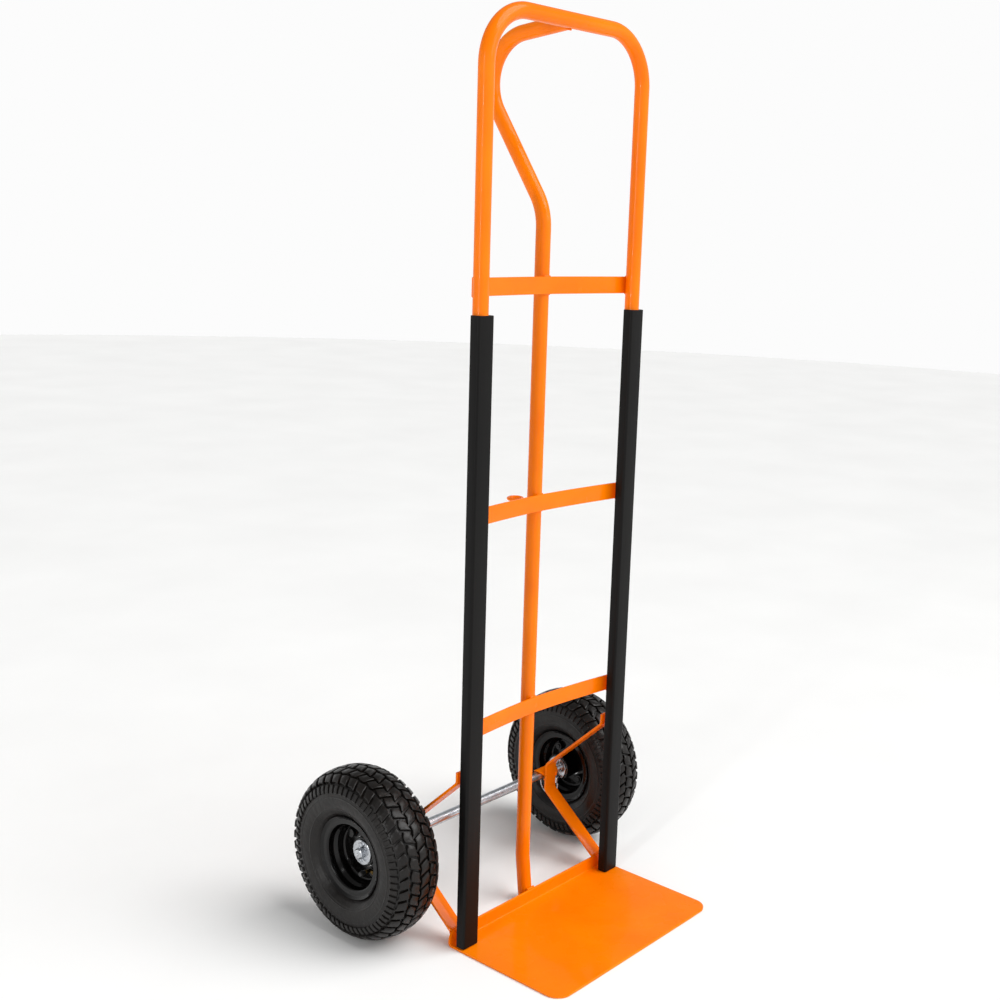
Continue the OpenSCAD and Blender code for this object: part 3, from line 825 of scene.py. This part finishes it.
def tyre_skin():
    """Points over the tyre's outside with their distance from the crown along the section."""
    count = 400
    sweep_angle = 180 + 2 * SEAT_ANGLE
    # From the sidewall in to the bead, inside the rim's lip
    flank = [Vector(p) for p in ((34, 67.2), (29.9, 63.9), (BEAD_S, 58.6))]
    points = [Vector((-p.x, p.y)) for p in flank[::-1]]
    for i in range(count + 1):
        angle = math.radians(180 + SEAT_ANGLE - sweep_angle * i / count)
        high = TYRE_R - TYRE_MID_R - TREAD_HIGH if 0 < angle < math.pi else TYRE_SEAT
        points.append(bulge(angle, TYRE_HALF - 0.6, high))
    points += flank
    run = [0]
    for a, b in zip(points, points[1:]):
        run.append(run[-1] + (b - a).length)
    crown = run[len(run) // 2]
    return [(r - crown, p) for r, p in zip(run, points)]


SKIN = tyre_skin()


def on_skin(s, lift):
    """The point at a distance s from the crown, raised by lift, as (along, radius)."""
    s = max(SKIN[0][0], min(SKIN[-1][0], s))
    low, high = 0, len(SKIN) - 1
    while high - low > 1:
        middle = (low + high) // 2
        if SKIN[middle][0] <= s:
            low = middle
        else:
            high = middle
    (s0, a), (s1, b) = SKIN[low], SKIN[high]
    way = (b - a).normalized()
    return a.lerp(b, (s - s0) / (s1 - s0)) + Vector((-way.y, way.x)) * lift


def on_tyre(turn, s, lift):
    """A point of the tyre at a turn round the axle and a distance from the crown."""
    along, r = on_skin(s, lift)
    return Vector((along, r * math.cos(turn), r * math.sin(turn)))


def zigzag(turns):
    """A triangle wave from -1 to 1 over each whole turn."""
    return 4 * abs(turns - math.floor(turns + 0.5)) - 1


def tread_block(row, turn, pitch):
    """One moulded block of a tread row, with drafted sides and eased edges."""
    low, high, skew, wave, height, fill = row
    ease = 0.09
    draft = 0.05
    marks = [-draft, 0, ease, 0.5, 1 - ease, 1, 1 + draft]
    sink = 1.2
    shoulder = height - 0.7
    lifts = [-sink, shoulder, height, height, height, shoulder, -sink]
    points = []
    for u, lift_u in zip(marks, lifts):
        for v, lift_v in zip(marks, lifts):
            at = (u - 0.5) * fill + skew * (v - 0.5)
            s = low + (high - low) * v + wave * zigzag(turn / pitch + at)
            points.append(on_tyre(turn + at * pitch, s, min(lift_u, lift_v)))
    n = len(marks)
    faces = [[i * n + j, i * n + j + 1, (i + 1) * n + j + 1, (i + 1) * n + j]
             for i in range(n - 1) for j in range(n - 1)]
    rim = [(0, j) for j in range(n)] + [(i, n - 1) for i in range(1, n)]
    rim += [(n - 1, j) for j in range(n - 2, -1, -1)] + [(i, 0) for i in range(n - 2, 0, -1)]
    faces.append([i * n + j for i, j in rim])
    return points, faces


def tread():
    """Rows of interlocking blocks over the crown and short ribs on the shoulders."""
    blocks = 42
    ribs = 64
    full = TREAD_HIGH
    # Each row: from, to, slant, zigzag, height, share of the pitch that is rubber
    rows = [(-6.8, 6.8, 0.3, 1.7, full, 0.78, blocks, 0),
            (10, 21.6, -0.32, 1.7, full, 0.78, blocks, 0.5),
            (25, 37.5, 0.3, 1.5, full, 0.75, blocks, 0),
            (-21.6, -10, -0.32, 1.7, full, 0.78, blocks, 0.5),
            (-37.5, -25, 0.3, 1.5, full, 0.75, blocks, 0),
            (40.2, 52, 0, 0, 2.4, 0.64, ribs, 0.25),
            (-52, -40.2, 0, 0, 2.4, 0.64, ribs, 0.25)]
    shapes = []
    for *row, count, shift in rows:
        pitch = 2 * math.pi / count
        shapes += [tread_block(row, (i + shift) * pitch, pitch) for i in range(count)]
    return joined(shapes)


def carcass():
    """The tyre's body: smooth sidewalls with two moulded rings, and a hollow inside."""
    # Each ring's distance from the crown along the section, and its height
    ring_at = {58: 0.6, 76: 0.8}
    ring_half = 1.3
    first, last = SKIN[0][0], SKIN[-1][0]
    count = 260
    outer = []
    for i in range(count + 1):
        s = first + (last - first) * i / count
        lift = sum(high * max(0, 1 - abs(abs(s) - at) / ring_half)
                   for at, high in ring_at.items())
        outer.append(on_skin(s, lift))
    inner = []
    for i in range(61):
        angle = math.radians(-50 + 280 * i / 60)
        high = TYRE_R - TYRE_MID_R - 10 if 0 < angle < math.pi else TYRE_SEAT - 8
        inner.append(bulge(angle, TYRE_HALF - TYRE_WALL, high))
    bead = BEAD_R + RIM_THICK / 2 + 0.1
    foot = [Vector((BEAD_S, bead + BEAD_HEEL)), Vector((BEAD_S - BEAD_HEEL, bead)),
            Vector((17, bead))]
    outline = outer + foot + inner + [Vector((-p.x, p.y)) for p in foot[::-1]]
    return lathe(outline, 176)


def rim_half(way):
    """One pressed half of the rim. The outer half has way 1, and the inner half way -1."""
    # The pressing's middle, from the hub out over the web, the well and the bead seat to the lip
    web = RIM_THICK / 2
    corners = [(web, HUB_R + 0.5), (web, WELL_R), (WELL_AT, WELL_R + 0.5), (BEAD_FROM, BEAD_R),
               (BEAD_TO, BEAD_R), (BEAD_TO + 0.5, LIP_R - 4), (LIP_AT, LIP_R + 0.5)]
    bends = [5, 3, 3, 2.5, 3]
    line = rounded([(way * along, r) for along, r in corners], bends, 7)
    return lathe(both_faces(spaced(line, 2.5), RIM_THICK), 128)


def hexagon(across_flats, low, high):
    """A hexagonal head or nut with its top corners turned off."""
    corner = across_flats / math.sqrt(3)
    loops = []
    for along, scale in ((low, 1), (high - 1.1, 1), (high, 0.86)):
        loop = []
        for i in range(24):
            t = 2 * math.pi * i / 24
            flat = across_flats / 2 / math.cos((t + math.pi / 6) % (math.pi / 3) - math.pi / 6)
            r = flat if scale == 1 else min(flat, corner * scale)
            loop.append(Vector((along, r * math.cos(t), r * math.sin(t))))
        loops.append(loop)
    return skinned(loops)


def bolt_places():
    """The rim bolts' places round the wheel."""
    return [Matrix.Rotation(math.radians(45 + 360 * i / BOLT_COUNT), 4, "X")
            @ Matrix.Translation((0, 0, BOLT_RING)) for i in range(BOLT_COUNT)]


def threaded(low, high, r, pitch):
    """A rod with rings for a thread, drawn as coarse as it needs to show."""
    outline = [Vector((low, 0)), Vector((low, r - 0.3))]
    turns = int((high - low - 1) / pitch)
    for i in range(turns):
        outline += [Vector((low + 0.5 + i * pitch, r - 0.3)),
                    Vector((low + 0.5 + (i + 0.5) * pitch, r))]
    outline += [Vector((high - 0.3, r - 0.3)), Vector((high, r - 0.8)), Vector((high, 0))]
    return lathe(outline, 32)


def valve_shapes():
    """The valve's bent stem and its ribbed cap."""
    turn = Matrix.Rotation(math.radians(VALVE_TURN), 4, "X")
    place = turn @ Matrix.Translation((VALVE_OUT, 0, 0))
    bend = 6
    line = bent_line((0, VALVE_ROOT_R), -90,
                     [(VALVE_ROOT_R - VALVE_TIP_R - bend, bend, 90), (4, 0, 0)], 8)
    stem = sweep([Vector((p.x, 0, p.y)) for p in line], Y, circle(3, 28), rim=0.4)
    tip = placed(threaded(0, 6, 3, 0.9), Matrix.Translation((bend, 0, VALVE_TIP_R)))
    loops = []
    for along, r in ((0, 3.5), (0.4, 4), (6.6, 4), (7.4, 3.7), (8.5, 3)):
        loop = []
        for i in range(48):
            t = 2 * math.pi * i / 48
            grip = 0.25 * (i % 4 < 2) if 0.4 <= along <= 6.6 else 0
            loop.append(Vector((2 * bend + 0.1 + along, (r - grip) * math.cos(t),
                                VALVE_TIP_R + (r - grip) * math.sin(t))))
        loops.append(loop)
    return placed(joined([stem, tip]), place), placed(skinned(loops), place)


def bearing(low):
    """A sealed ball bearing: outer race, seal and inner race."""
    high = low + BEARING_W
    inner = AXLE_R + 0.05
    races = [(BEARING_R - 3, BEARING_R - 0.05), (inner, inner + 3)]
    shapes = [lathe(eased(low, high, r_in, r_out, 0.4), 72) for r_in, r_out in races]
    shapes.append(lathe(eased(low + 0.7, high - 0.7, inner + 2.9, BEARING_R - 2.9, 0.3), 72))
    return joined(shapes)


def hub():
    """The hub's tube, stepped inside to seat the bearings."""
    low, high = hub_lo.x - WHEEL_X, hub_hi.x - WHEEL_X
    seat = BEARING_W + 0.5
    outline = chamfered([(low, BEARING_R), (low, HUB_R), (high, HUB_R), (high, BEARING_R),
                         (high - seat, BEARING_R), (high - seat, BEARING_R - 3),
                         (low + seat, BEARING_R - 3), (low + seat, BEARING_R)], 0.5)
    return lathe(outline, 96)


def inner_tube():
    """The inflated tube inside the tyre."""
    skin = 2.2
    wide, high = TYRE_HALF - 7.2, TYRE_R - TYRE_MID_R - 12
    turns = [2 * math.pi * i / 48 for i in range(48)]
    shells = [lathe([bulge(t, wide - inset, high - inset) for t in turns], 96)
              for inset in (0, skin)]
    return joined(shells)


def wheel(name, side):
    """A wheel: tyre, tube, split rim, hub, bearings, bolts and valve."""
    body = "wheel_" + name
    place = at_axle(WHEEL_X, side)
    hub_in, hub_out = hub_lo.x - WHEEL_X, hub_hi.x - WHEEL_X
    stem, cap = valve_shapes()
    heads, nuts = [], []
    for spot in bolt_places():
        flange = lathe(chamfered([(RIM_THICK, 0), (RIM_THICK, 8.4), (RIM_THICK + 1.2, 8.4),
                                  (RIM_THICK + 1.2, 0)], 0.01), 32)
        heads += [placed(hexagon(13, RIM_THICK + 1, RIM_THICK + 5.3), spot),
                  placed(flange, spot),
                  placed(threaded(-RIM_THICK - 8, RIM_THICK, 4, 1.25), spot)]
        turned = spot @ Matrix.Rotation(math.pi, 4, "Z")
        nuts.append(placed(hexagon(13, RIM_THICK, RIM_THICK + 6.5), turned))
    parts = [
        ("tyre", joined([carcass(), tread()]), "tyre_rubber", ["tyre"], 32),
        ("tube", inner_tube(), "butyl_rubber", ["inner_tube"], 60),
        ("rim_front", rim_half(1), "rim_paint", ["rim_outer"], 50),
        ("rim_back", rim_half(-1), "rim_paint", ["rim_inner"], 50),
        ("hub_tube", hub(), "rim_paint", ["hub"], 40),
        ("ball_bearings", joined([bearing(hub_in + 0.5), bearing(hub_out - BEARING_W - 0.5)]),
         "bearing_steel", ["bearings"], 30),
        ("rim_bolt_set", joined(heads), "rim_paint", ["rim_bolts"], 30),
        ("rim_nut_set", joined(nuts), "rim_paint", ["rim_nuts"], 30),
        ("valve_stem", stem, "valve_brass", ["valve"], 40),
        ("valve_dust_cap", cap, "cap_plastic", ["valve_cap"], 40)]
    for part, shape, finish, nodes, crease in parts:
        piece(f"{body}_{part}", placed(shape, place), finish, body,
              [f"{node}_{name}" for node in nodes], crease)


# ---------------------------------------------------------------- studio

def floor():
    """A wide pale floor."""
    size = 9
    mesh = bpy.data.meshes.new("studio_floor")
    turns = [2 * math.pi * i / 96 for i in range(96)]
    mesh.from_pydata([(size * math.cos(t), size * math.sin(t), 0) for t in turns], [],
                     [list(range(96))])
    mesh.materials.append(studio_floor("matt_pale_floor_paint"))
    thing = bpy.data.objects.new("studio_floor", mesh)
    bpy.context.scene.collection.objects.link(thing)


def softbox(name, place, target, size, power):
    """A square soft light that looks from a place towards a target."""
    light = bpy.data.lights.new(name, "AREA")
    light.shape = "RECTANGLE"
    light.size, light.size_y = size
    light.energy = power
    thing = bpy.data.objects.new(name, light)
    thing.location = place
    aim = Vector(target) - Vector(place)
    thing.rotation_euler = aim.to_track_quat("-Z", "Y").to_euler()
    bpy.context.scene.collection.objects.link(thing)


def daylight(way, strength):
    """Broad, even light that falls from a direction over the whole floor."""
    light = bpy.data.lights.new("broad_daylight", "SUN")
    light.energy = strength
    light.angle = math.radians(50)
    thing = bpy.data.objects.new("broad_daylight", light)
    thing.rotation_euler = (-Vector(way)).to_track_quat("-Z", "Y").to_euler()
    bpy.context.scene.collection.objects.link(thing)


def surroundings():
    """A pale room that is brightest near the horizon."""
    world = bpy.data.worlds.new("pale_room")
    world.use_nodes = True
    tree = world.node_tree
    tree.nodes.clear()
    place = add(tree, "TexCoord")
    parts = add(tree, "SeparateXYZ", links={"Vector": (place, "Generated")})
    rise = add(tree, "MapRange", {"From Min": 0.15, "From Max": 0.5, "To Min": 1, "To Max": 0.3},
               {"Value": (parts, "Z")}, interpolation_type="SMOOTHSTEP")
    room = add(tree, "Background", {"Color": linear("#FCFCFC")}, {"Strength": (rise, "Result")})
    add(tree, "OutputWorld", links={"Surface": (room, "Background")})
    bpy.context.scene.world = world


def camera():
    """The camera's place and lens."""
    focal = 1.35516
    yaw, pitch, roll = (math.radians(a) for a in (52.862, 12.137, 2.891))
    ahead = Vector((math.sin(yaw) * math.cos(pitch), math.cos(yaw) * math.cos(pitch),
                    -math.sin(pitch)))
    right = Vector((math.cos(yaw), -math.sin(yaw), 0))
    up = right.cross(ahead)
    tilted_right = right * math.cos(roll) + up * math.sin(roll)
    tilted_up = up * math.cos(roll) - right * math.sin(roll)
    data = bpy.data.cameras.new("studio_camera")
    data.sensor_width = 36
    data.lens = data.sensor_width * focal
    data.shift_x = -0.1412
    data.shift_y = 0.0064
    thing = bpy.data.objects.new("studio_camera", data)
    turn = Matrix((tilted_right, tilted_up, -ahead)).transposed().to_4x4()
    thing.matrix_world = Matrix.Translation((-1.475754, -1.278658, 1.068525)) @ turn
    bpy.context.scene.collection.objects.link(thing)
    bpy.context.scene.camera = thing


def studio():
    """Floor, lights, surroundings and camera."""
    bpy.context.scene.view_settings.view_transform = "Standard"
    floor()
    surroundings()
    middle = (0, 0, 0.6)
    daylight((0.5, -1.0, 1.5), 2.45)
    softbox("key_softbox", (1.2, -2.6, 2.4), middle, (1.6, 1.6), 18)
    softbox("side_strip", (-2.6, -0.6, 1.3), (0, 0, 0.5), (0.14, 1.5), 15)
    camera()


# ---------------------------------------------------------------- the whole truck

main_loop()
centre_tube()
crossbars()
tie_ring()
toe_plate()
guards()
brackets()
sleeves()
foot_welds()
axle()
washers()
split_pins()
linch_pins()
for wheel_name, wheel_side in SIDES.items():
    wheel(wheel_name, wheel_side)
studio()
